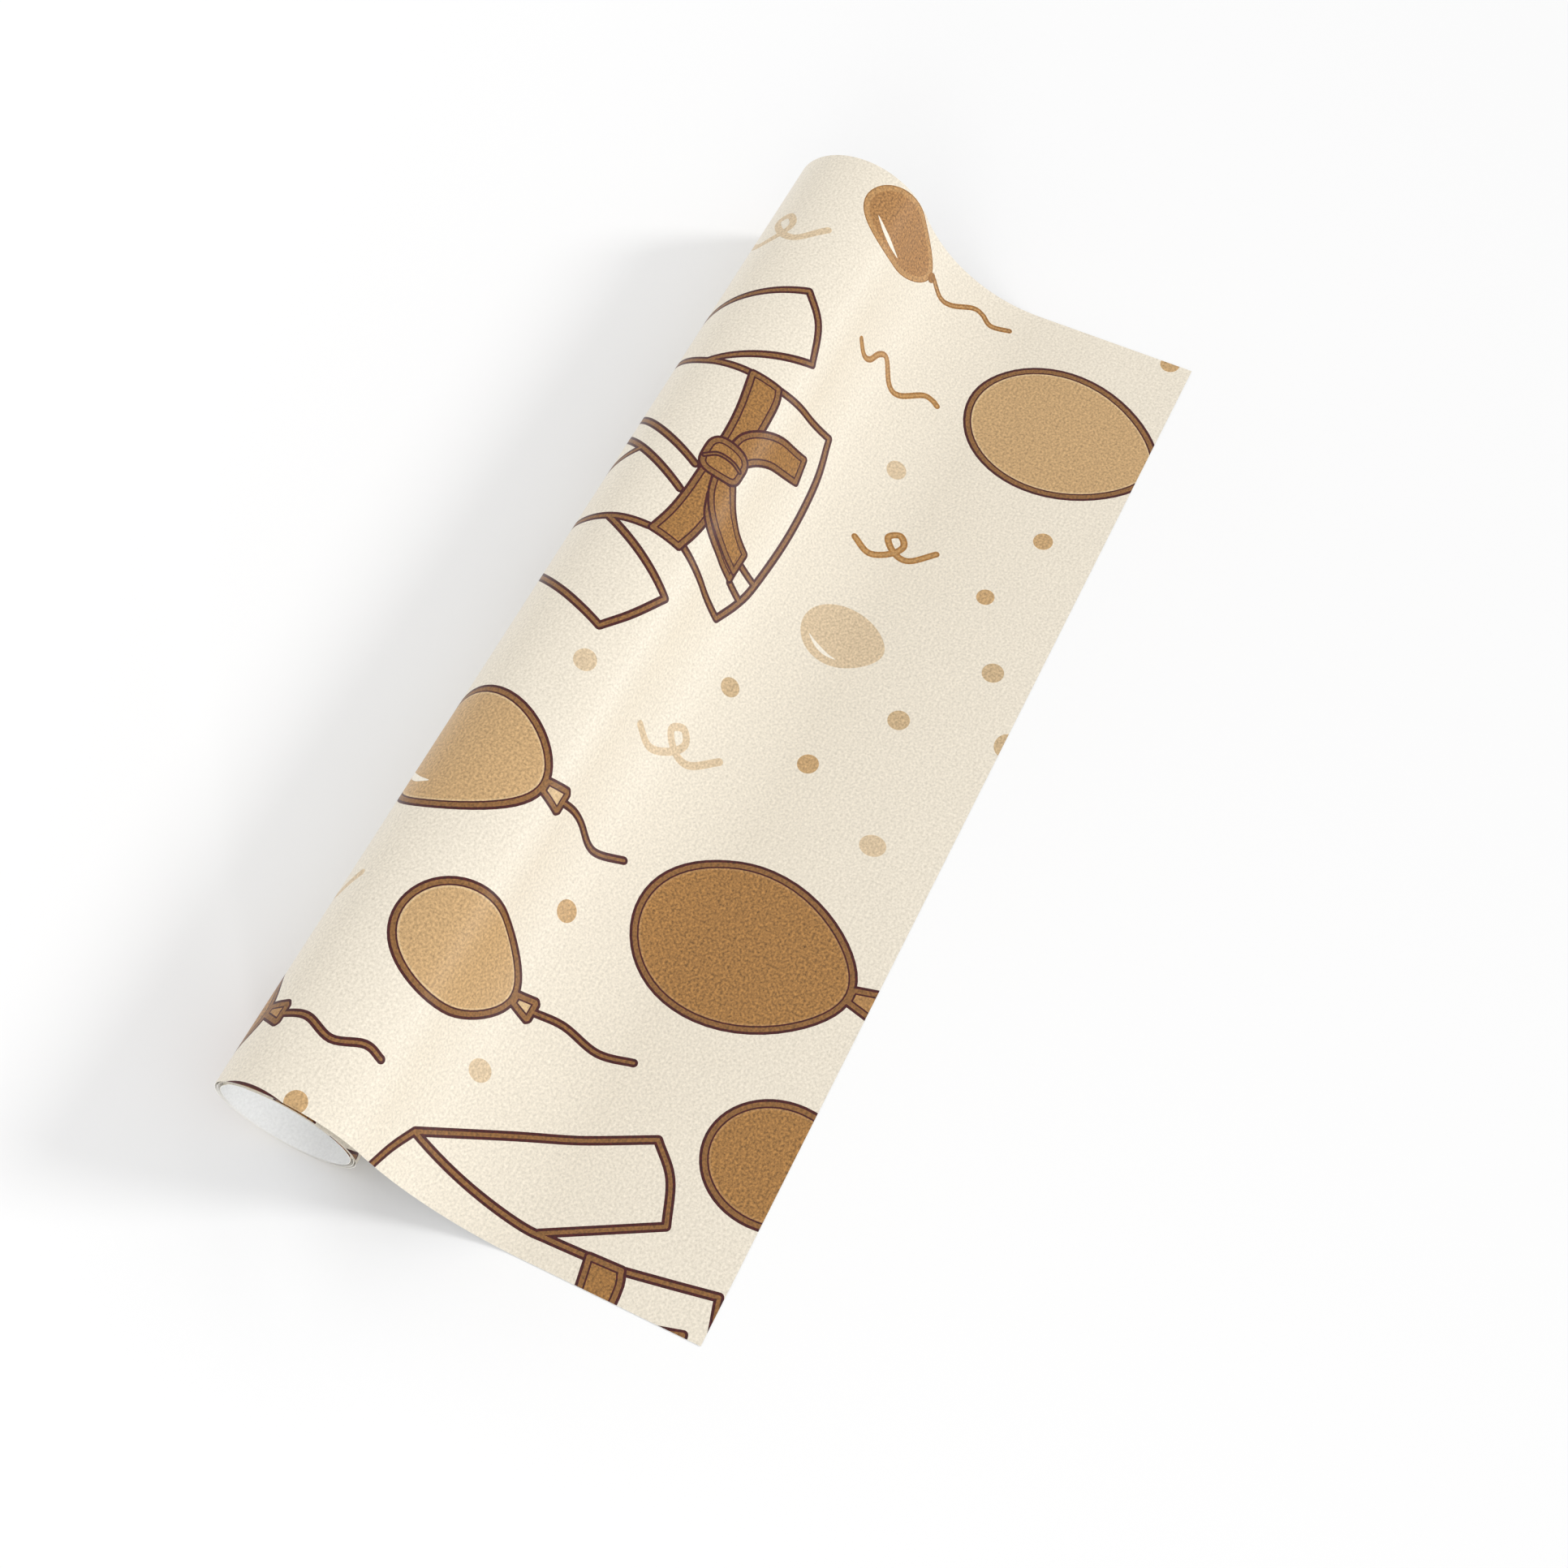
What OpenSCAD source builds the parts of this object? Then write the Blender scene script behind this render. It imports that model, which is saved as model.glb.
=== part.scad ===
// Wrapping paper roll, wound from one printed sheet with its free end drawn out flat.
// The sheet is one long piece of paper. It is divided into named stretches along the
// lines where it bends, so that each stretch can turn against the next.
// X runs along the roll, the free end points to -Y, and Z is up from the surface that
// the roll lies on. Angles round the roll are counted from +Y towards +Z.

/* [Sheet] */
// Width of the sheet, which is the length of the roll
sheet_w = 500; // [300:10:1000]
// Thickness of the paper
paper_t = 0.15; // [0.12:0.01:0.3]

/* [Wound turns] */
// Outer diameter of the wound turns
roll_d = 60; // [50:1:90]
// Step inward from one turn to the next
turn_pitch = 1; // [0.8:0.1:2]
// How far round the innermost turn goes, in degrees
inner_sweep = 333; // [300:1:345]

/* [Free end] */
// Angle before the crest at which the sheet leaves the turns
lift_off = 49; // [30:1:60]
// Radius of the shoulder that the sheet makes over the crest
shoulder_r = 34.3; // [32:0.1:38]
// Steepest slope of the sheet, where the shoulder meets the fall
fall_slope = 67.5; // [50:0.5:75]
// Distance from the roll's axis to the free edge
free_reach = 171; // [160:1:260]

/* [Bends] */
// Gap along each line where the sheet bends
bend_gap = 0.3; // [0.2:0.05:0.5]
// Clearance between the turns that slip on each other
slip_gap = 0.35; // [0.3:0.05:0.6]

/* [Hidden] */
$fn = 180;

paper_cream = "#f3ebda";
stretches = 4; // in each of the shoulder, the fall and the tail
crest_angle = 90;
half_turn = 180;

// Points and centres across the roll are [y, z] pairs.
function towards(angle) = [cos(angle), sin(angle)];

// The wound turns. The innermost one is round, and slips inside the turn before it.
roll_r = roll_d / 2;
roll_axis = [(free_reach - roll_r) / 2, roll_r];
leave_angle = crest_angle - lift_off;
inner_r = roll_r - 2 * turn_pitch - paper_t - slip_gap;

// The shoulder is tangent to the outer turn where the sheet leaves it.
fall_angle = crest_angle + fall_slope;
shoulder_centre = roll_axis + towards(leave_angle) * (roll_r - shoulder_r);
shoulder_step = (fall_angle - leave_angle) / stretches;

// The fall curves the other way, from the end of the shoulder down to the surface.
fall_top = shoulder_centre + towards(fall_angle) * shoulder_r;
fall_r = (fall_top[1] - paper_t) / (1 - sin(fall_angle));
fall_centre = [fall_top[0] + fall_r * cos(fall_angle), paper_t + fall_r];
fall_start = fall_angle + half_turn;
fall_step = fall_slope / stretches;

// The tail lies flat from the foot of the fall to the free edge.
tail_start = fall_centre[0];
tail_end = roll_axis[0] - free_reach;
tail_step = (tail_start - tail_end) / stretches;

// Turns the local X, Y and Z into the roll's Y, Z and X, about a centre.
module about(centre)
    translate([-sheet_w / 2, centre[0], centre[1]])
        rotate([90, 0, 90])
            children();

// Bent paper of outer radius r, from one angle round to another.
module bent_sheet(r, from, to)
    rotate([0, 0, from])
        rotate_extrude(angle = to - from)
            translate([r - paper_t, 0])
                square([paper_t, sheet_w]);

// The angle that a length takes up on a radius.
function angle_of(length, r) = length / r * half_turn / PI;

// One whole turn of the spiral, starting at the lift-off line and winding inward: two
// half turns whose centres are half a pitch apart, so that they meet edge to edge.
// start_gap clears its first edge from the paper that it continues.
module spiral_turn(r, start_gap)
    about(roll_axis)
        rotate([0, 0, leave_angle]) {
            bent_sheet(r, -half_turn, -angle_of(start_gap, r));
            translate([-turn_pitch / 2, 0, 0])
                bent_sheet(r - turn_pitch / 2, 0, half_turn);
        }

// Stretch number i of the shoulder, counted from the lift-off line.
module shoulder_stretch(i) {
    trim = angle_of(bend_gap / 2, shoulder_r);
    about(shoulder_centre)
        bent_sheet(shoulder_r,
            leave_angle + i * shoulder_step + trim,
            leave_angle + (i + 1) * shoulder_step - trim);
}

// Stretch number i of the fall, counted from the top. Its print is on the inside of
// the curve, so its outer radius is the underside of the paper.
module fall_stretch(i) {
    trim = angle_of(bend_gap / 2, fall_r);
    about(fall_centre)
        bent_sheet(fall_r + paper_t,
            fall_start - (i + 1) * fall_step + trim,
            fall_start - i * fall_step - trim);
}

// Stretch number i of the flat tail, counted from the foot of the fall.
module tail_stretch(i) {
    free_trim = i == stretches - 1 ? 0 : bend_gap / 2;
    y_high = tail_start - i * tail_step - bend_gap / 2;
    y_low = tail_start - (i + 1) * tail_step + free_trim;
    translate([-sheet_w / 2, y_low, 0])
        cube([sheet_w, y_high - y_low, paper_t]);
}

module outer_turn() color(paper_cream) spiral_turn(roll_r, bend_gap / 2);
module middle_turn() color(paper_cream) spiral_turn(roll_r - turn_pitch, slip_gap);
module inner_turn() color(paper_cream)
    about(roll_axis) bent_sheet(inner_r, leave_angle - inner_sweep, leave_angle);

module shoulder_back() color(paper_cream) shoulder_stretch(0);
module shoulder_crest() color(paper_cream) shoulder_stretch(1);
module shoulder_front() color(paper_cream) shoulder_stretch(2);
module shoulder_brow() color(paper_cream) shoulder_stretch(3);

module fall_upper() color(paper_cream) fall_stretch(0);
module fall_middle() color(paper_cream) fall_stretch(1);
module fall_lower() color(paper_cream) fall_stretch(2);
module fall_foot() color(paper_cream) fall_stretch(3);

module tail_root() color(paper_cream) tail_stretch(0);
module tail_inner() color(paper_cream) tail_stretch(1);
module tail_outer() color(paper_cream) tail_stretch(2);
module tail_edge() color(paper_cream) tail_stretch(3);

outer_turn();
middle_turn();
inner_turn();
shoulder_back();
shoulder_crest();
shoulder_front();
shoulder_brow();
fall_upper();
fall_middle();
fall_lower();
fall_foot();
tail_root();
tail_inner();
tail_outer();
tail_edge();
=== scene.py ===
"""Looks of the wrapping paper roll: one printed sheet, wound into a roll, with its free end laid flat.

The sheet is drawn flat first, in millimetres: x runs along the roll, and s is the distance
from the free edge, counted along the paper. The print is cut into the flat sheet as areas of
ink, and the sheet is then rolled up along the path that the CAD stretches follow.
"""

import math

import bpy
import numpy as np
from mathutils import Matrix, Vector
from mathutils.geometry import delaunay_2d_cdt


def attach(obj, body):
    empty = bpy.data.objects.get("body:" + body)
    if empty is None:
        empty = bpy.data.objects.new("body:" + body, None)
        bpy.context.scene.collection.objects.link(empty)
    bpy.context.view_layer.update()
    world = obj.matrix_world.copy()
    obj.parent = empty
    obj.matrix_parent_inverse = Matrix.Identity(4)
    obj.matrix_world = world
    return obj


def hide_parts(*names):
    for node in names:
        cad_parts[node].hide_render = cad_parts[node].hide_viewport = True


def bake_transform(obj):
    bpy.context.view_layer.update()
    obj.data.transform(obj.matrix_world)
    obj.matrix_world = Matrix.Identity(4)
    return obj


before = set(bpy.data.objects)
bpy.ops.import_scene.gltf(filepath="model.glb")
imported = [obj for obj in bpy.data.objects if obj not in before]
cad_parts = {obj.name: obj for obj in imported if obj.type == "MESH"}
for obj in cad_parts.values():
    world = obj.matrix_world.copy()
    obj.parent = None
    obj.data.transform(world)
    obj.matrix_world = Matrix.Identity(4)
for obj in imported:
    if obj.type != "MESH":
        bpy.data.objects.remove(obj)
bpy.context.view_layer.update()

MM = 0.001

# ---------------------------------------------------------------- the sheet's path
# Driving dimensions of the CAD model, in millimetres and degrees.
SHEET_W = 500  # the sheet's width, which is the roll's length
PAPER_T = 0.15
ROLL_R = 30  # the roll's outer radius
TURN_PITCH = 1  # how much the radius shrinks with each turn
INNER_SWEEP = 333  # how far round the inner turn reaches
SLIP_GAP = 0.35  # the gap that keeps the moving turns apart
LIFT_OFF = 49  # where the sheet leaves the roll, in degrees behind its top
SHOULDER_R = 34.3
FALL_SLOPE = 67.5  # the fall at its steepest
FREE_REACH = 171  # from the roll's axis to the free edge
STRETCHES = 4  # in each of the tail, the fall and the shoulder

FREE_STRETCHES = [
    "tail_edge", "tail_outer", "tail_inner", "tail_root",
    "fall_foot", "fall_lower", "fall_middle", "fall_upper",
    "shoulder_brow", "shoulder_front", "shoulder_crest", "shoulder_back",
]


def towards(degrees):
    """Unit vector [y, z] at an angle counted from +Y towards +Z."""
    a = np.radians(degrees)
    return np.stack([np.cos(a), np.sin(a)], -1)


class Straight:
    """A flat run of paper with its print upward."""

    def __init__(self, start, length):
        self.start, self.length = np.array(start, float), length

    def at(self, d):
        """Places and outward normals at distances d along the run."""
        point = self.start + np.stack([d, 0 * d], -1)
        return point, np.broadcast_to([0.0, 1.0], point.shape)


class Arc:
    """A bent run. Its print is on the outside of the curve, or inside where hollow is true."""

    def __init__(self, centre, radius, start, end, hollow=False):
        self.centre, self.radius = np.array(centre, float), radius
        self.start, self.turn = start, math.copysign(1, end - start)
        self.length = radius * math.radians(abs(end - start))
        self.side = -1 if hollow else 1

    def at(self, d):
        """Places and outward normals at distances d along the run."""
        ray = towards(self.start + self.turn * np.degrees(d / self.radius))
        return self.centre + self.radius * ray, self.side * ray


def web_runs():
    """The printed face of the whole sheet, from the free edge to the inner end."""
    axis = np.array([(FREE_REACH - ROLL_R) / 2, ROLL_R])
    leave = 90 - LIFT_OFF
    fall = 90 + FALL_SLOPE
    shoulder_centre = axis + towards(leave) * (ROLL_R - SHOULDER_R)
    fall_top = shoulder_centre + towards(fall) * SHOULDER_R
    fall_r = (fall_top[1] - PAPER_T) / (1 - towards(fall)[1])
    fall_centre = np.array([fall_top[0] + fall_r * towards(fall)[0], PAPER_T + fall_r])
    tail_start = axis[0] - FREE_REACH
    runs = [
        Straight([tail_start, PAPER_T], fall_centre[0] - tail_start),
        Arc(fall_centre, fall_r, 270, fall + 180, hollow=True),
        Arc(shoulder_centre, SHOULDER_R, fall, leave),
    ]
    for turn in range(2):
        r = ROLL_R - turn * TURN_PITCH
        far_centre = axis - towards(leave) * TURN_PITCH / 2
        runs.append(Arc(axis, r, leave, leave - 180))
        runs.append(Arc(far_centre, r - TURN_PITCH / 2, leave - 180, leave - 360))
    inner_r = ROLL_R - 2 * TURN_PITCH - PAPER_T - SLIP_GAP
    runs.append(Arc(axis, inner_r, leave, leave - INNER_SWEEP))
    return runs


RUNS = web_runs()
RUN_STARTS = np.concatenate([[0], np.cumsum([run.length for run in RUNS])])
# The run that each part of the sheet starts with.
TAIL, FALL, SHOULDER, OUTER, MIDDLE, INNER = 0, 1, 2, 3, 5, 7


def on_path(s, first_run=TAIL, last_run=INNER):
    """Places [y, z] of the printed face and its outward normals, at distances s along the sheet."""
    s = np.asarray(s, float)
    index = np.clip(np.searchsorted(RUN_STARTS, s, side="right") - 1, first_run, last_run)
    point, normal = np.zeros(s.shape + (2,)), np.zeros(s.shape + (2,))
    for i in np.unique(index):
        here = index == i
        point[here], normal[here] = RUNS[i].at(s[here] - RUN_STARTS[i])
    return point, normal


# ---------------------------------------------------------------- the print's shapes
# Layers of ink, painted in this order. A drawn line takes two, its rim and then its core.
UNDER = 2  # dots, streamers, and the darker edge of a fill
FILL = 3
LINES = 4
PLAIN = 5  # the plain balloon, which takes three
BELT = 7  # the belt's first cloth
CLOTH_LAYERS = 3  # for each cloth, its fill and its line
GLINT = 9
FOLD = 22

CORNER_POINTS = 14  # in the round that fills a line's sharp corner or ends the line
SHARP = 0.85  # a corner is sharp where the cosine of its turn is less
EGG_POINTS = 56
WIDEST = 0.55  # how far up a balloon is widest, as a share of its height
NECK_FOR = 25  # half the width of the balloon that the neck's shape is drawn for
NECK_END = 7.9  # how far the neck reaches below the tip of that balloon


class Mark:
    """One area of ink on the flat sheet: a filled outline, or a line of some width."""

    def __init__(self, ink, layer, points, width=None, closed=False):
        self.ink, self.layer, self.width, self.closed = ink, layer, width, closed
        self.points = np.array(points, float)

    def moved(self, x, s):
        """The same mark at another place."""
        return Mark(self.ink, self.layer, self.points + [x, s], self.width, self.closed)

    def reach(self):
        """Two corners of the box that holds the ink."""
        pad = (self.width or 0) / 2
        return self.points.min(0) - pad, self.points.max(0) + pad

    def edges(self):
        """The segments that bound the ink."""
        p = self.points
        if self.width is None:
            return np.stack([p, np.roll(p, -1, 0)], 1)
        if self.closed:
            p = np.concatenate([p[-1:], p, p[:1]])
        step = np.diff(p, axis=0)
        side = np.stack([-step[:, 1], step[:, 0]], 1) / np.linalg.norm(step, axis=1)[:, None]
        joint = side[:-1] + side[1:]
        joint /= (np.linalg.norm(joint, axis=1) ** 2 / 2)[:, None]
        out = np.concatenate([side[:1], joint, side[-1:]])
        half = self.width / 2
        if self.closed:
            p, out = p[1:-1], out[1:-1]
        segments = []
        for sign in (1, -1):
            q = p + sign * half * out
            end = np.roll(q, -1, 0) if self.closed else q[1:]
            segments.append(np.stack([q[: len(end)], end], 1))
        corners = [] if self.closed else [p[0], p[-1]]
        sharp = np.einsum("ij,ij->i", side[:-1], side[1:]) < SHARP
        middle = p if self.closed else p[1:-1]
        corners += list(middle[sharp])
        for c in corners:
            ring = c + half * circle(CORNER_POINTS)
            segments.append(np.stack([ring, np.roll(ring, -1, 0)], 1))
        return np.concatenate(segments)

    def covers(self, q):
        """Which of the places q the ink covers."""
        low, high = self.reach()
        near = np.all((q >= low) & (q <= high), axis=1)
        found = np.zeros(len(q), bool)
        if not near.any():
            return found
        t, p = q[near], self.points
        if self.width is None:
            a, b = p, np.roll(p, -1, 0)
            above = (a[:, 1] > t[:, None, 1]) != (b[:, 1] > t[:, None, 1])
            rise = np.where(b[:, 1] == a[:, 1], 1, b[:, 1] - a[:, 1])
            cross = a[:, 0] + (t[:, None, 1] - a[:, 1]) / rise * (b[:, 0] - a[:, 0])
            found[near] = np.sum(above & (t[:, None, 0] < cross), axis=1) % 2 == 1
            return found
        a, b = (p, np.roll(p, -1, 0)) if self.closed else (p[:-1], p[1:])
        d = b - a
        along = np.einsum("nij,ij->ni", t[:, None] - a, d) / np.maximum((d * d).sum(1), 1e-12)
        foot = a + np.clip(along, 0, 1)[..., None] * d
        found[near] = np.linalg.norm(t[:, None] - foot, axis=2).min(1) < self.width / 2
        return found


def circle(n):
    """A circle of n points and radius 1."""
    a = np.linspace(0, 2 * math.pi, n, endpoint=False)
    return np.stack([np.cos(a), np.sin(a)], 1)


def smooth(points, steps=7, closed=False):
    """A smooth curve through a few points."""
    p = np.array(points, float)
    if closed:
        p = np.concatenate([p[-1:], p, p[:2]])
    else:
        p = np.concatenate([[2 * p[0] - p[1]], p, [2 * p[-1] - p[-2]]])
    t = np.linspace(0, 1, steps, endpoint=False)[:, None]
    out = []
    for a, b, c, d in zip(p, p[1:], p[2:], p[3:]):
        out.append(b + t * (c - a) / 2 + t * t * (a - 2.5 * b + 2 * c - d / 2)
                   + t**3 * (1.5 * b - 1.5 * c + (d - a) / 2))
    if not closed:
        out.append(p[-2:-1])
    return np.concatenate(out)


OUTLINE_W = 3.75  # full width of the line round a filled shape
LINE_W = 3.9  # full width of a line on its own
BOLD_RIM = 1.16  # the darker edge of a line, where it meets the plain paper
SOFT_RIM = 0.68  # the darker edge of an outline, where it meets its own fill
THIN_RIM = 0.92  # the darker edge of a fine line


def inward(outline, by):
    """A closed outline, drawn in by a small amount."""
    along = np.roll(outline, -1, 0) - np.roll(outline, 1, 0)
    side = np.stack([-along[:, 1], along[:, 0]], 1) / np.linalg.norm(along, axis=1)[:, None]
    x, s = outline.T
    turn = np.dot(x, np.roll(s, -1)) - np.dot(s, np.roll(x, -1))
    return outline + math.copysign(by, turn) * side


def drawn_outline(outline, layer):
    """The line round a filled shape, with a bold rim outside and a softer one inside."""
    core = inward(outline, (BOLD_RIM - SOFT_RIM) / 2)
    return [
        Mark("line_rim", layer, outline, OUTLINE_W, True),
        Mark("line_core", layer + 1, core, OUTLINE_W - BOLD_RIM - SOFT_RIM, True),
    ]


def drawn_line(points, layer, width=LINE_W, inks=("line_rim", "line_core"), rim=THIN_RIM):
    """A line with darker edges, as a brush pen leaves it."""
    return [
        Mark(inks[0], layer, points, width),
        Mark(inks[1], layer + 1, points, width - 2 * rim),
    ]


def egg(x, s, half_w, height, inset=0.0, lean=0.0):
    """Outline of a balloon with its tip at (x, s), drawn in by inset and leaning to +x."""
    a = np.linspace(0, 2 * math.pi, EGG_POINTS, endpoint=False)
    widest = WIDEST * height
    up, w = np.sin(a), half_w - inset
    tip = 1 - 0.2 * np.maximum(0, -up) ** 2
    rise = np.where(up > 0, height - widest - inset, widest - inset) * up
    return np.stack([x + w * np.cos(a) * tip + lean * rise, s + widest + rise], 1)


def glint(x, s, size):
    """The light sliver on a balloon's side, with its lower tip at (x, s)."""
    shape = np.array([[0, 0], [-0.02, 0.35], [0.11, 0.7], [0.36, 1], [0.22, 0.68], [0.07, 0.28]])
    return [Mark("glint", GLINT, smooth(shape * size + [x, s], 4, closed=True))]


def outlined_balloon(x, s, half_w, height, fill, string, lean=0.0):
    """A balloon with a dark outline, its tied neck below the tip, and its string."""
    size = half_w / NECK_FOR
    tip = np.array([x - lean * WIDEST * height, s])
    neck = np.array([[-2, 1], [2, 1], [4, -7.2], [3.2, -NECK_END], [-3.2, -NECK_END], [-4, -7.2]])
    marks = [
        Mark(fill + "_edge", UNDER, egg(x, s, half_w, height, 1, lean)),
        Mark(fill, FILL, egg(x, s, half_w, height, OUTLINE_W + 0.8, lean)),
        Mark(fill + "_edge", FILL, neck * size + tip),
    ]
    marks += drawn_outline(egg(x, s, half_w, height, OUTLINE_W / 2, lean), LINES)
    marks += drawn_outline(neck * size + tip, LINES)
    below = tip - [0, NECK_END * size]
    return marks + drawn_line(smooth(string + below), LINES, width=3.6, rim=BOLD_RIM)


def plain_balloon(x, s, half_w, height):
    """A balloon drawn in one ink, with its knot and string."""
    string = np.array([[0.7, -2.2], [-3.8, -9.7], [-2.6, -16.2], [4, -25.7], [4.1, -31.2],
                       [1, -37.2], [3.4, -46]])
    inks, lean = ("soft_rim", "soft_core"), 0.005
    marks = drawn_line(smooth(string + [x, s]), LINES, width=2.7, inks=inks)
    marks += [
        Mark("soft_rim", PLAIN, egg(x, s, half_w, height, 0, lean)),
        Mark("soft_core", PLAIN + 1, egg(x, s, half_w, height, 0.5, lean)),
        Mark("soft_fill", PLAIN + 2, egg(x, s, half_w, height, 3, lean)),
        Mark("soft_rim", PLAIN + 1, [x + 0.2, s - 0.6] + [2.8, 2.2] * circle(16)),
    ]
    return marks + glint(x - 12.4, s + 23, 20)


def pale_balloon(x, s, half_w, height):
    """A pale balloon with no outline and no string."""
    return [Mark("pale", UNDER, egg(x, s, half_w, height))] + glint(x - 11, s + 17.5, 15.5)


def curl(x, s, size, inks, lean=0.0):
    """A streamer with one loop in it, crossing itself at (x, s)."""
    shape = np.array([
        [-2, 18.5], [-5.6, 9.5], [-1, 1], [5, -2.6], [9.5, 1], [6, 5.4], [0, -0.5], [-0.8, -8],
        [7.5, -17.2],
    ])
    shape[:, 0] += lean * shape[:, 1]
    return drawn_line(smooth(shape * size + [x, s]), UNDER, width=3.2 * size**0.5, inks=inks)


def jacket_lines():
    """The drawn lines of the jacket, about the middle of its belt's knot."""
    return [
        smooth([[-9.5, 10], [4.6, 38], [10.5, 51], [21.4, 76], [30.6, 103]]),
        smooth([[-23.5, 10], [-10.1, 34], [-1.5, 51], [24.5, 103]]),
        smooth([[-9, 38], [-15, 50], [-41, 103]]),
        smooth([[-41, 103], [-20, 109], [0, 111], [31, 103]]),
        smooth([[31, 103], [42, 98.5], [52, 93]]),
        smooth([[-41, 103], [-48, 99], [-56, 93]]),
        smooth([[43.8, 11], [43.3, 26], [43.3, 38], [46.5, 62], [52, 93]]),
        smooth([[-46, 13], [-46.8, 28], [-49, 45], [-50, 62], [-56, 93]]),
        smooth([[52, 93], [72, 57], [84, 31], [95.7, 7.5]]),
        smooth([[-56, 93], [-76.2, 58], [-90.2, 26], [-97.3, 8.5]]),
        smooth([[95.7, 7.5], [84, -3.8], [66.7, -11]]),
        smooth([[-97.3, 8.5], [-85.5, 0], [-69.6, -9]]),
        np.array([[66.7, -11], [43.6, 31]]),
        smooth([[-69.6, -9], [-58.2, 11.5], [-47.5, 31]]),
        smooth([[-55.5, -38], [-43, -43.3], [-30, -46.2], [0, -48.3], [30, -46.5], [51.3, -41]]),
        smooth([[44.7, -5], [48.3, -25], [51.3, -41]]),
        smooth([[-45.3, -3], [-50.5, -18], [-55.5, -38]]),
        np.array([[-38.5, -34], [-41, -43]]),
        np.array([[-28.5, -34], [-30, -45]]),
    ]


def cloth(one_side, other_side):
    """Outline of a strip of cloth with two smooth sides and square ends."""
    return np.concatenate([smooth(one_side, 4), smooth(other_side, 4)])


def jacket_cloths():
    """The belt, its hanging ends and its knot, from the back to the front."""
    band = cloth([[-46, 11.4], [-35, 8.5], [-23, 7], [-8, 6.4], [9, 5.5], [25, 6.4], [44.2, 9.7]],
                 [[44.8, -3.8], [35, -6.3], [0, -7], [-25, -6.5], [-37, -5], [-47, -2.2]])
    under = cloth([[-18, -2], [-26.5, -5.5], [-32.2, -12.5], [-35.2, -21], [-37.6, -33.5]],
                  [[-28, -33.5], [-24, -20], [-14, -9]])
    left = cloth([[-8, 0.5], [-17, -2], [-25, -8], [-30.5, -18], [-33.5, -33.5]],
                 [[-23.5, -33.8], [-20, -22], [-15, -14.5], [-7, -8.5]])
    right = cloth([[8, 0.5], [15, -1.5], [22, -8], [28.3, -19], [33.2, -35.4]],
                  [[21.8, -37.6], [16, -22], [10.5, -13.5], [5, -8.5]])
    knot = [[-6.3, 8.4], [-1, 9.2], [4.8, 8.6], [7.6, 4.5], [7.2, -4.5], [4.4, -8.6], [-0.8, -9.2],
            [-5.8, -8.4], [-7.7, -3.5], [-8.4, 4.5]]
    return band, under, left, right, smooth(knot, 4, closed=True)


def jacket(x, s):
    """A plain crossed jacket with a tied belt, at the middle of the belt's knot."""
    marks = []
    for line in jacket_lines():
        marks += drawn_line(line + [x, s], LINES, rim=BOLD_RIM)
    for i, outline in enumerate(jacket_cloths()):
        layer = BELT + CLOTH_LAYERS * i
        marks.append(Mark("belt", layer, outline + [x, s]))
        marks += drawn_outline(outline + [x, s], layer + 1)
    fold = smooth([[-3.5, 9], [0.5, 4], [1.2, -3], [0, -8]]) + [x, s]
    return marks + drawn_line(fold, FOLD, width=2.4)


REPEAT = 330  # the print's repeat along the sheet
# The balloons' strings, from the neck's end.
STRING_LONG = [[0, 0], [1.5, -8], [0.4, -14.8], [-4, -23.4], [-3.8, -29.8], [0.9, -40.3]]
STRING_WAVY = [[0, 0], [2.3, -14], [-0.5, -30.5], [2.5, -45]]
STRING_SHORT = [[0, 0], [1.5, -9], [-1, -18], [1.5, -26]]
STRING_CURVED = [[0, 0], [2, -11], [-2, -23.5], [2.6, -35.5], [1.2, -43.5]]
PALE = ("pale", "pale")
TAN = ("tan_rim", "tan_core")


def balloons():
    """The balloons of one repeat."""
    marks = outlined_balloon(-101, 8, 36.6, 96.2, "brown", STRING_LONG)
    marks += outlined_balloon(-176.5, -32, 26.3, 67.3, "brown", STRING_SHORT)
    marks += outlined_balloon(189.8, -6.5, 35.5, 93, "tan", STRING_LONG, 0.035)
    marks += outlined_balloon(-165.3, 126.5, 25.2, 67, "tan", STRING_WAVY, 0.005)
    marks += outlined_balloon(-93.7, 167, 30.3, 79, "tan", STRING_LONG, -0.022)
    marks += outlined_balloon(-219.4, 219, 26.2, 62, "brown", STRING_CURVED)
    marks += outlined_balloon(-260.5, 171, 12, 61, "brown", STRING_SHORT)
    marks += glint(-111.5, 212, 24)
    return marks + plain_balloon(232, 131.2, 17.7, 52.3) + pale_balloon(48.6, 64, 15, 38.5)


def streamers():
    """The streamers of one repeat: four with a loop, and a wavy one."""
    marks = curl(98.5, 82, 1, TAN) + curl(-39.7, 122.3, 1.12, PALE)
    marks += curl(198, 210.5, 1.2, PALE, 0.1) + curl(-164.3, 236, 1.1, PALE)
    wave = [[175.1, 147.3], [171.4, 141], [172.9, 136.8], [179, 134], [180.8, 129.5],
            [171.5, 121.5], [171, 115], [179.2, 105.5], [179.9, 100.5], [178.6, 97.3]]
    return marks + drawn_line(smooth(wave), UNDER, width=2.9, inks=TAN)


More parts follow.
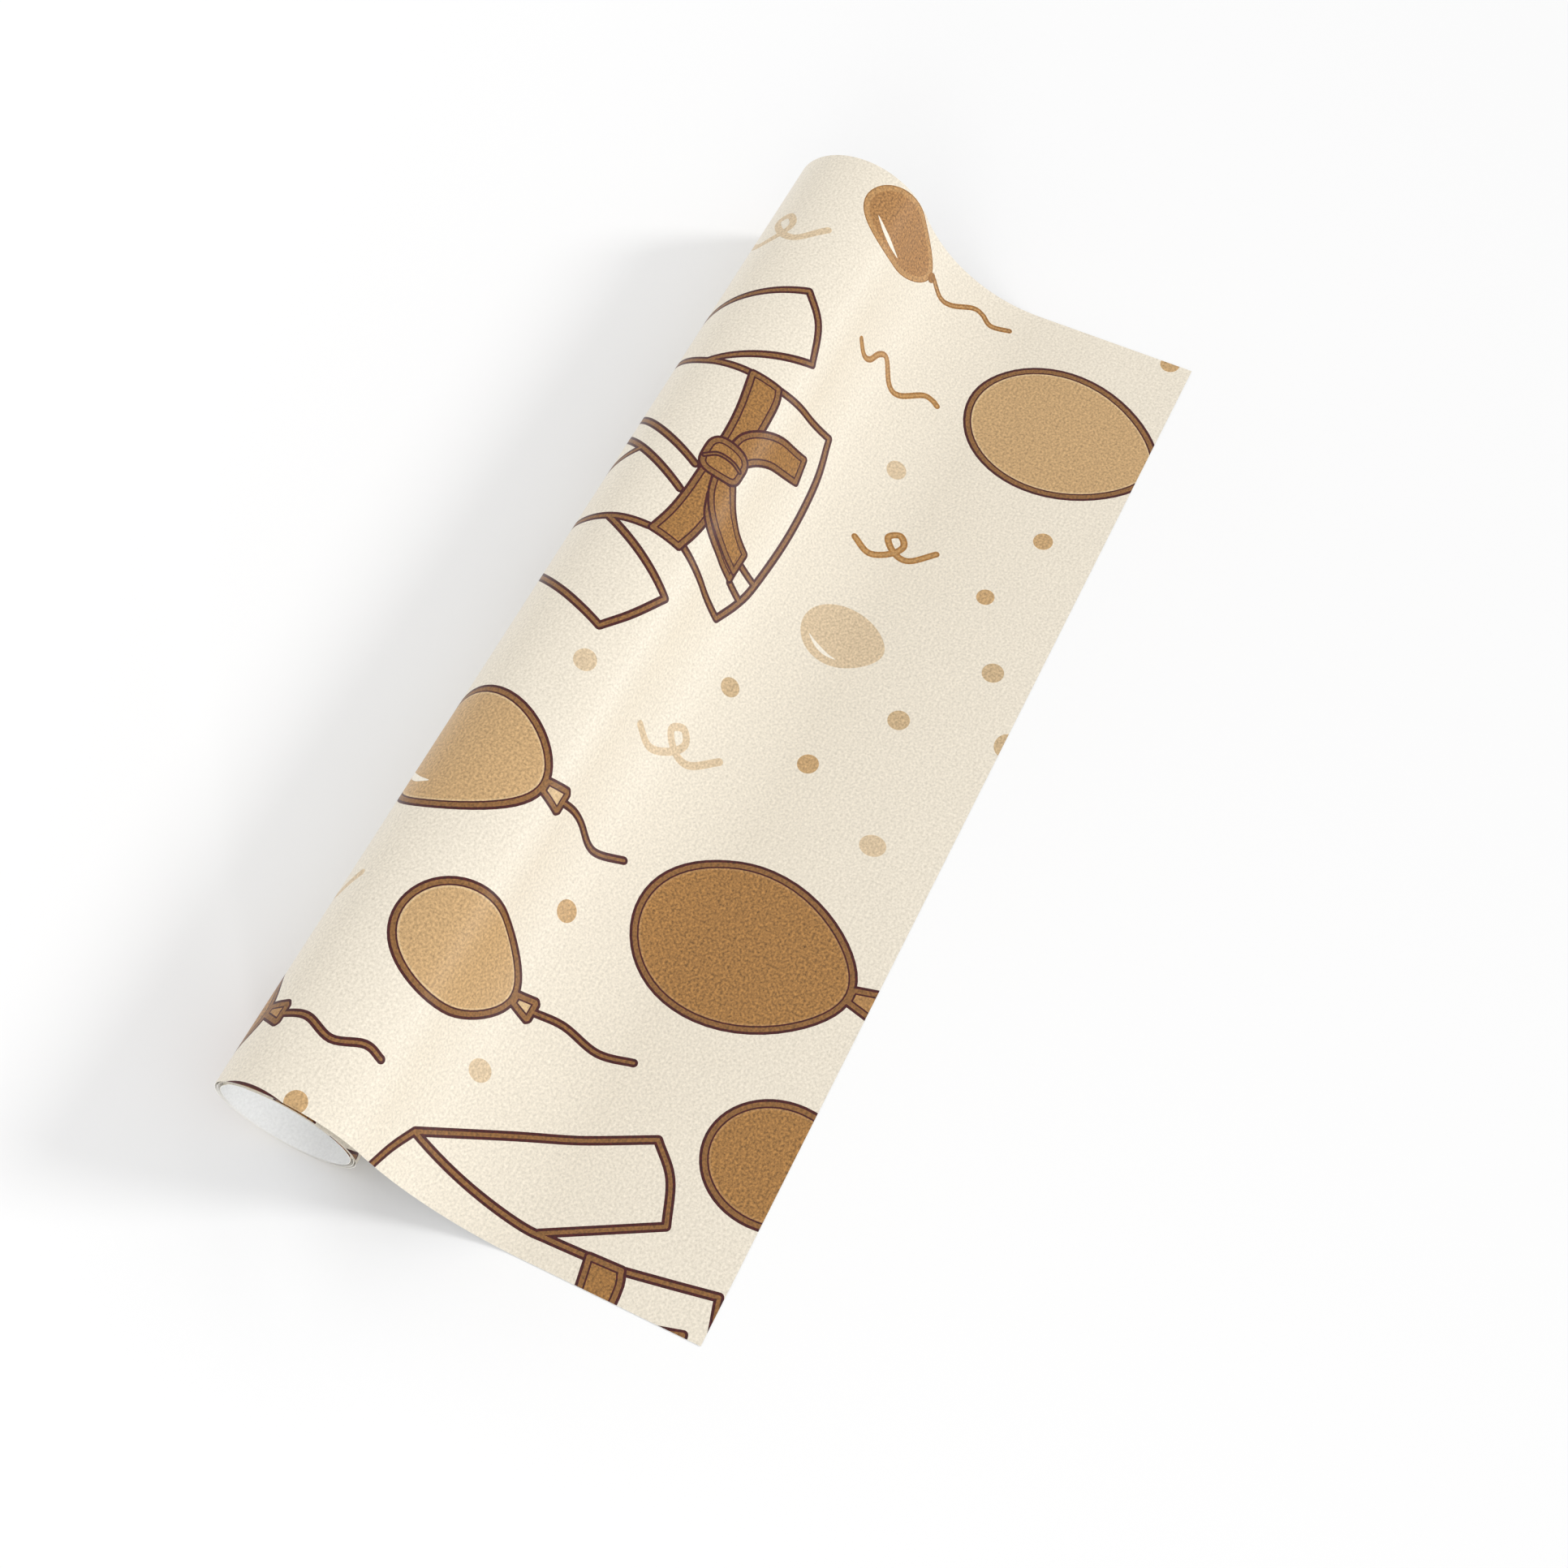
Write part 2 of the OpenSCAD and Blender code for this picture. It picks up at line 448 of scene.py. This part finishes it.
def dots():
    """The dots of one repeat: place, half width, ink, and height as a share of the width."""
    marks = []
    for x, s, r, ink, tall in (
        (-13.5, 70, 4.6, "tan", 1), (22, 44.6, 4.8, "pale_tan", 1), (-36.7, 29.5, 4.9, "pale", 1.17),
        (60.5, 18, 4.8, "pale_tan", 1), (0, 115, 4.3, "pale_tan", 1.05),
        (94.7, 36.3, 4, "tan", 1), (132.5, 25, 4.4, "tan", 1), (137.5, 99, 4.7, "pale", 1),
        (-196.5, 125, 4.4, "pale", 1.18), (-124, 127.5, 4.7, "tan", 1),
        (-38.5, 181, 4.9, "pale", 1), (-247.6, 185.7, 4.4, "tan", 1), (249.4, 10.5, 4.5, "tan", 1),
        (30, -1.5, 6, "pale_tan", 0.9), (160, 236, 4.6, "tan", 1), (-20, 250, 4.6, "pale_tan", 1),
        (231, 246, 4.6, "tan", 1), (-55, 262, 4.4, "tan", 1), (-130, 272, 4.6, "pale", 1),
        (148, 272, 4.4, "pale", 1),
    ):
        marks.append(Mark(ink, UNDER, [x, s] + [r, r * tall] * circle(28)))
    return marks


def one_repeat():
    """The marks of one repeat of the print, at their places on the sheet."""
    return jacket(75, 175) + jacket(-282.3, 43) + balloons() + streamers() + dots()


def whole_print():
    """Every mark on the sheet, repeat after repeat."""
    length = RUN_STARTS[-1]
    marks = []
    for k in range(-1, int(length // REPEAT) + 1):
        marks += [mark.moved(0, k * REPEAT) for mark in one_repeat()]
    return [mark for mark in marks if mark.reach()[1][1] > 0 and mark.reach()[0][1] < length]


PRINT = sorted(whole_print(), key=lambda mark: mark.layer)


# ---------------------------------------------------------------- flat sheet to curved mesh
INKS = ["face", "line_rim", "line_core", "belt", "brown", "brown_edge", "tan", "tan_edge", "tan_rim",
        "tan_core", "soft_rim", "soft_core", "soft_fill", "pale", "pale_tan", "glint"]
BACK, EDGE = len(INKS), len(INKS) + 1
ROW_STEP = 1.6  # the most that the rows of corners across the sheet stand apart
SHORTEST = 1e-4  # a cut segment shorter than this is left out
WELD = 1e-5  # corners nearer than this are one
SLIVER = 1e-9  # a triangle with less area than this is left out


def clipped(segments, low, high):
    """The parts of flat segments that lie between two corners of the sheet."""
    a, b = segments[:, 0].copy(), segments[:, 1].copy()
    for axis in (0, 1):
        for limit, sign in ((low[axis], 1), (high[axis], -1)):
            out_a, out_b = sign * (a[:, axis] - limit) < 0, sign * (b[:, axis] - limit) < 0
            keep = ~(out_a & out_b)
            a, b, out_a, out_b = a[keep], b[keep], out_a[keep], out_b[keep]
            t = (limit - a[:, axis]) / np.where(a[:, axis] == b[:, axis], 1, b[:, axis] - a[:, axis])
            cut = a + t[:, None] * (b - a)
            cut[:, axis] = limit
            a, b = np.where(out_a[:, None], cut, a), np.where(out_b[:, None], cut, b)
    long_enough = np.linalg.norm(b - a, axis=1) > SHORTEST
    return np.stack([a[long_enough], b[long_enough]], 1)


def flat_panel(s_low, s_high, marks):
    """Triangles of the flat sheet between two distances, with each one's ink."""
    half = SHEET_W / 2
    low, high = np.array([-half, s_low]), np.array([half, s_high])
    rows = np.linspace(s_low, s_high, max(2, math.ceil((s_high - s_low) / ROW_STEP) + 1))
    lines = [np.array([[[-half, s], [half, s]] for s in rows])]
    lines.append(np.array([[low, [-half, s_high]], [[half, s_low], high]]))
    marks = [m for m in marks if m.reach()[1][1] > s_low and m.reach()[0][1] < s_high]
    lines += [clipped(m.edges(), low, high) for m in marks]
    ends = np.concatenate(lines).reshape(-1, 2)
    corners, _, faces, *_ = delaunay_2d_cdt(
        [Vector(p) for p in ends], [(i, i + 1) for i in range(0, len(ends), 2)], [], 0, WELD)
    corners = np.array([p[:] for p in corners])
    faces = np.array([f for f in faces if len(f) == 3])
    p = corners[faces]
    area = np.cross(p[:, 1] - p[:, 0], p[:, 2] - p[:, 0]) / 2
    faces = np.where((area < 0)[:, None], faces[:, ::-1], faces)
    faces = faces[np.abs(area) > SLIVER]
    middle = corners[faces].mean(1)
    ink = np.zeros(len(faces), int)
    for mark in marks:
        ink[mark.covers(middle)] = INKS.index(mark.ink)
    return corners, faces, ink


def paper_piece(name, s_low, s_high, materials, marks=PRINT, runs=(TAIL, INNER)):
    """A closed piece of the curved sheet, with its print, its plain reverse and its cut edges."""
    flat, front, ink = flat_panel(s_low, s_high, marks)
    place, normal = on_path(flat[:, 1], *runs)
    n = len(flat)
    outer = np.column_stack([flat[:, 0], place])
    inner = np.column_stack([flat[:, 0], place - PAPER_T * normal])
    sides = [side for face in front for side in zip(face, np.roll(face, -1))]
    used = set(sides)
    rim = [(a, b) for a, b in sides if (b, a) not in used]
    quads = [(b, a, a + n, b + n) for a, b in rim]
    me = bpy.data.meshes.new(name)
    triangles = [tuple(f) for f in front] + [tuple(f[::-1] + n) for f in front]
    me.from_pydata(np.concatenate([outer, inner]) * MM, [], triangles + quads)
    for material in materials:
        me.materials.append(material)
    slots = np.concatenate([ink, np.full(len(front), BACK), np.full(len(quads), EDGE)])
    me.polygons.foreach_set("material_index", slots.astype(np.int32))
    me.polygons.foreach_set("use_smooth", np.ones(len(slots), bool))
    sheet = me.attributes.new("sheet", "FLOAT_VECTOR", "POINT")
    where = np.column_stack([flat, np.zeros(n)]) * MM
    sheet.data.foreach_set("vector", np.concatenate([where, where]).astype(np.float32).ravel())
    me.update()
    set_normals(me, normal, len(front))
    piece = bpy.data.objects.new(name, me)
    bpy.context.scene.collection.objects.link(piece)
    return piece


def set_normals(me, normal, n_front):
    """Exact normals for the two faces, and flat ones for the cut edges."""
    up = np.column_stack([np.zeros(len(normal)), normal])
    vertex = np.zeros(len(me.loops), np.int32)
    me.loops.foreach_get("vertex_index", vertex)
    both = np.concatenate([up, -up])
    loops = both[vertex]
    first_edge_loop = 6 * n_front
    flat_normals = np.zeros(3 * len(me.polygons), np.float32)
    me.polygons.foreach_get("normal", flat_normals)
    edges = flat_normals.reshape(-1, 3)[2 * n_front:]
    loops[first_edge_loop:] = np.repeat(edges, 4, axis=0)
    me.normals_split_custom_set(loops.tolist())


# ---------------------------------------------------------------- materials
FLAT_LIGHT = 1.03  # how much brighter than its own colour the studio light shows flat paper
SHEEN = 0.028  # what the light mirrored in its surface adds to every colour
# Scales of the paper's noise, per metre of the flat sheet.
GRAIN_SCALE = 900
CLOUD_SCALE = 45
GLOSS_SCALE = 600
TOOTH_SCALE = 1400


def seen(r, g, b):
    """The paper's own colour, from the colour it shows in the studio, in 0 to 255."""
    def channel(v):
        v /= 255
        linear = v / 12.92 if v <= 0.04045 else ((v + 0.055) / 1.055) ** 2.4
        return max(0.004, (linear - SHEEN) / FLAT_LIGHT)
    return channel(r), channel(g), channel(b), 1.0


def paper(name, colour, mottle, rough=0.38, cloud=0.05):
    """Uncoated printed paper: fine mottled grain in its colour, a soft tooth and a low sheen."""
    material = bpy.data.materials.new(name)
    material.use_nodes = True
    nodes, links = material.node_tree.nodes, material.node_tree.links
    shader = nodes["Principled BSDF"]
    where = nodes.new("ShaderNodeAttribute")
    where.attribute_name = "sheet"

    def noise(scale, detail):
        node = nodes.new("ShaderNodeTexNoise")
        node.inputs["Scale"].default_value = scale
        node.inputs["Detail"].default_value = detail
        node.inputs["Roughness"].default_value = 0.6
        links.new(where.outputs["Vector"], node.inputs["Vector"])
        return node.outputs["Fac"]

    def maths(kind, a, b):
        node = nodes.new("ShaderNodeMath")
        node.operation = kind
        for i, value in enumerate((a, b)):
            if isinstance(value, (int, float)):
                node.inputs[i].default_value = value
            else:
                links.new(value, node.inputs[i])
        return node.outputs[0]

    grain = maths("MULTIPLY", maths("SUBTRACT", noise(GRAIN_SCALE, 2), 0.5), 1.4 * mottle)
    clouds = maths("MULTIPLY", maths("SUBTRACT", noise(CLOUD_SCALE, 2), 0.5), cloud)
    tone = maths("ADD", maths("ADD", grain, clouds), 1.0)
    tint = nodes.new("ShaderNodeVectorMath")
    tint.operation = "SCALE"
    tint.inputs[0].default_value = colour[:3]
    links.new(tone, tint.inputs["Scale"])
    links.new(tint.outputs[0], shader.inputs["Base Color"])
    links.new(maths("ADD", maths("MULTIPLY", noise(GLOSS_SCALE, 2), 0.12), rough - 0.06),
              shader.inputs["Roughness"])
    bump = nodes.new("ShaderNodeBump")
    bump.inputs["Strength"].default_value = 0.12
    bump.inputs["Distance"].default_value = 0.00006
    links.new(noise(TOOTH_SCALE, 4), bump.inputs["Height"])
    links.new(bump.outputs[0], shader.inputs["Normal"])
    shader.inputs["Specular IOR Level"].default_value = 0.4
    return material


def paper_materials():
    """One material for each ink, from its colour and mottle, then the reverse and the cut edge."""
    colours = {
        "face": ((235, 226, 209), 0.54), "belt": ((161, 119, 74), 1.8),
        "line_rim": ((82, 45, 19), 1.8), "line_core": ((142, 104, 69), 1.4),
        "brown": ((166, 124, 78), 1.9), "brown_edge": ((176, 135, 90), 1.4),
        "tan": ((199, 165, 121), 1.2), "tan_edge": ((214, 184, 141), 0.9),
        "tan_rim": ((168, 124, 76), 1.2), "tan_core": ((190, 148, 98), 1.2),
        "soft_rim": ((158, 115, 70), 1.4), "soft_core": ((188, 146, 99), 1.4),
        "soft_fill": ((172, 129, 85), 1.8), "glint": ((244, 236, 220), 0.4),
        "pale": ((217, 195, 163), 0.9), "pale_tan": ((203, 177, 140), 1.1),
    }
    made = [paper(f"ink_{ink}", seen(*colours[ink][0]), colours[ink][1]) for ink in INKS]
    made.append(paper("paper_back", seen(252, 252, 251), 0.2, rough=0.6))
    made.append(paper("paper_edge", seen(250, 247, 240), 0.2, rough=0.8))
    return made


# ---------------------------------------------------------------- the pieces
def free_sheet(materials):
    """One piece across each bend, from the middle of one stretch to the middle of the next."""
    bends = [RUN_STARTS[run] + i * RUNS[run].length / STRETCHES
             for run in (TAIL, FALL, SHOULDER) for i in range(STRETCHES)] + [RUN_STARTS[OUTER]]
    middles = [(a + b) / 2 for a, b in zip(bends, bends[1:])]
    last_reach = bends[-1] - middles[-1]
    ends = middles + [bends[-1] + last_reach]
    for i, node in enumerate(FREE_STRETCHES):
        low = 0 if i == 0 else ends[i]
        piece = paper_piece(f"paper_{node}", low, ends[i + 1], materials)
        row_point(ends[i + 1])
        row_point(ends[i])
        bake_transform(piece)
        declare(node)
    return ends[-1]


def row_point(s):
    """The place of the printed face at a distance along the sheet, in metres."""
    y, z = on_path(np.array([s]))[0][0] * MM
    return (0, y, z)


def declare(node):
    """Hides the CAD part that the piece stands for."""
    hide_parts(node)


def wound_turns(start, materials):
    """The three wound turns, each on its own body."""
    turns = (
        ("outer_turn", "roll", start, RUN_STARTS[MIDDLE], PRINT, (TAIL, OUTER + 1)),
        ("middle_turn", "middle_turn", RUN_STARTS[MIDDLE] + SLIP_GAP, RUN_STARTS[INNER], [],
         (MIDDLE, MIDDLE + 1)),
        ("inner_turn", "inner_turn", RUN_STARTS[INNER], RUN_STARTS[-1], PRINT, (INNER, INNER)),
    )
    for node, body, low, high, marks, runs in turns:
        piece = paper_piece(f"paper_{node}", low, high, materials, marks, runs)
        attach(piece, body)
        declare(node)


# ---------------------------------------------------------------- studio
ROOM_LIGHT = 0.83
FLOOR_WHITE = 0.92
FLOOR_HALF = 30.0
FLOOR_Z = -0.0002  # just under the paper
SUN_PLACE, SUN_POWER, SUN_ANGLE = (0.6, -1.1, 0.66), 1.17, 14
FILLS = (((0.3, 1.6, 0.6), 3.2), ((-1.6, -0.3, 0.7), 3.4))
FILL_SIZE = 0.8
STRIP_PLACE, STRIP_POWER, STRIP_SIZE = (0.86, -1.75, 0.46), 7, (1.2, 0.2)
SPOT_POWER, SPOT_CONE, SPOT_BLEND, SPOT_SOFT = 1.3, 13, 0.7, 0.02


def studio():
    """An even white room, a sun for the shadow, two weak fills, a long lamp that acts only on
    the sheen, and a small lamp that shines into the roll's near end."""
    scene = bpy.context.scene
    world = bpy.data.worlds.new("studio")
    scene.world = world
    world.use_nodes = True
    back = world.node_tree.nodes["Background"]
    back.inputs["Color"].default_value = (1, 1, 1, 1)
    back.inputs["Strength"].default_value = ROOM_LIGHT

    floor_material = bpy.data.materials.new("floor")
    floor_material.use_nodes = True
    shader = floor_material.node_tree.nodes["Principled BSDF"]
    shader.inputs["Base Color"].default_value = (FLOOR_WHITE, FLOOR_WHITE, FLOOR_WHITE, 1)
    shader.inputs["Roughness"].default_value = 1
    shader.inputs["Specular IOR Level"].default_value = 0
    me = bpy.data.meshes.new("floor")
    corners = [(-FLOOR_HALF, -FLOOR_HALF), (FLOOR_HALF, -FLOOR_HALF), (FLOOR_HALF, FLOOR_HALF),
               (-FLOOR_HALF, FLOOR_HALF)]
    me.from_pydata([(x, y, FLOOR_Z) for x, y in corners], [], [(0, 1, 2, 3)])
    me.materials.append(floor_material)
    floor = bpy.data.objects.new("floor", me)
    scene.collection.objects.link(floor)

    def lamp(kind, place, power, target=(0, 0, 0)):
        light = bpy.data.lights.new(kind.lower(), kind)
        light.energy = power
        thing = bpy.data.objects.new(kind.lower(), light)
        thing.location = place
        ray = Vector(target) - Vector(place)
        thing.rotation_euler = ray.to_track_quat("-Z", "Y").to_euler()
        scene.collection.objects.link(thing)
        return thing, light

    sun, light = lamp("SUN", SUN_PLACE, SUN_POWER)
    light.angle = math.radians(SUN_ANGLE)
    sun.visible_glossy = False
    for place, power in FILLS:
        fill, light = lamp("AREA", place, power)
        light.shape, light.size = "SQUARE", FILL_SIZE
        fill.visible_glossy = False
    strip, light = lamp("AREA", STRIP_PLACE, STRIP_POWER)
    light.shape = "RECTANGLE"
    light.size, light.size_y = STRIP_SIZE
    strip.visible_diffuse = False
    mouth = (-SHEET_W / 2 * MM, (FREE_REACH - ROLL_R) / 2 * MM, 0)
    spot, light = lamp("SPOT", (mouth[0] - 0.18, mouth[1] - 0.11, 0.05), SPOT_POWER,
                       (mouth[0] + 0.012, mouth[1] + 0.012, 0.02))
    light.spot_size, light.spot_blend = math.radians(SPOT_CONE), SPOT_BLEND
    light.shadow_soft_size = SPOT_SOFT
    spot.visible_glossy = False
    scene.view_settings.view_transform = "Standard"


def camera():
    """Looks down on the roll from the tail's side and its near end."""
    azimuth, elevation, tilt = math.radians(-152.65), math.radians(61.24), math.radians(-1.63)
    distance, target = 0.9207, Vector((-0.0263, -0.0256, 0))
    ray = Vector((math.cos(elevation) * math.cos(azimuth),
                  math.cos(elevation) * math.sin(azimuth), math.sin(elevation)))
    right = (-ray).cross(Vector((0, 0, 1))).normalized()
    up = right.cross(-ray)
    turned_right = math.cos(tilt) * right + math.sin(tilt) * up
    turned_up = -math.sin(tilt) * right + math.cos(tilt) * up
    data = bpy.data.cameras.new("camera")
    data.sensor_width, data.lens = 36, 50.86
    data.clip_start, data.clip_end = 0.01, 50
    eye = bpy.data.objects.new("camera", data)
    axes = Matrix((turned_right, turned_up, ray)).transposed().to_4x4()
    eye.matrix_world = Matrix.Translation(target + ray * distance) @ axes
    bpy.context.scene.collection.objects.link(eye)
    bpy.context.scene.camera = eye


camera()
MATERIALS = paper_materials()
wound_turns(free_sheet(MATERIALS), MATERIALS)
studio()
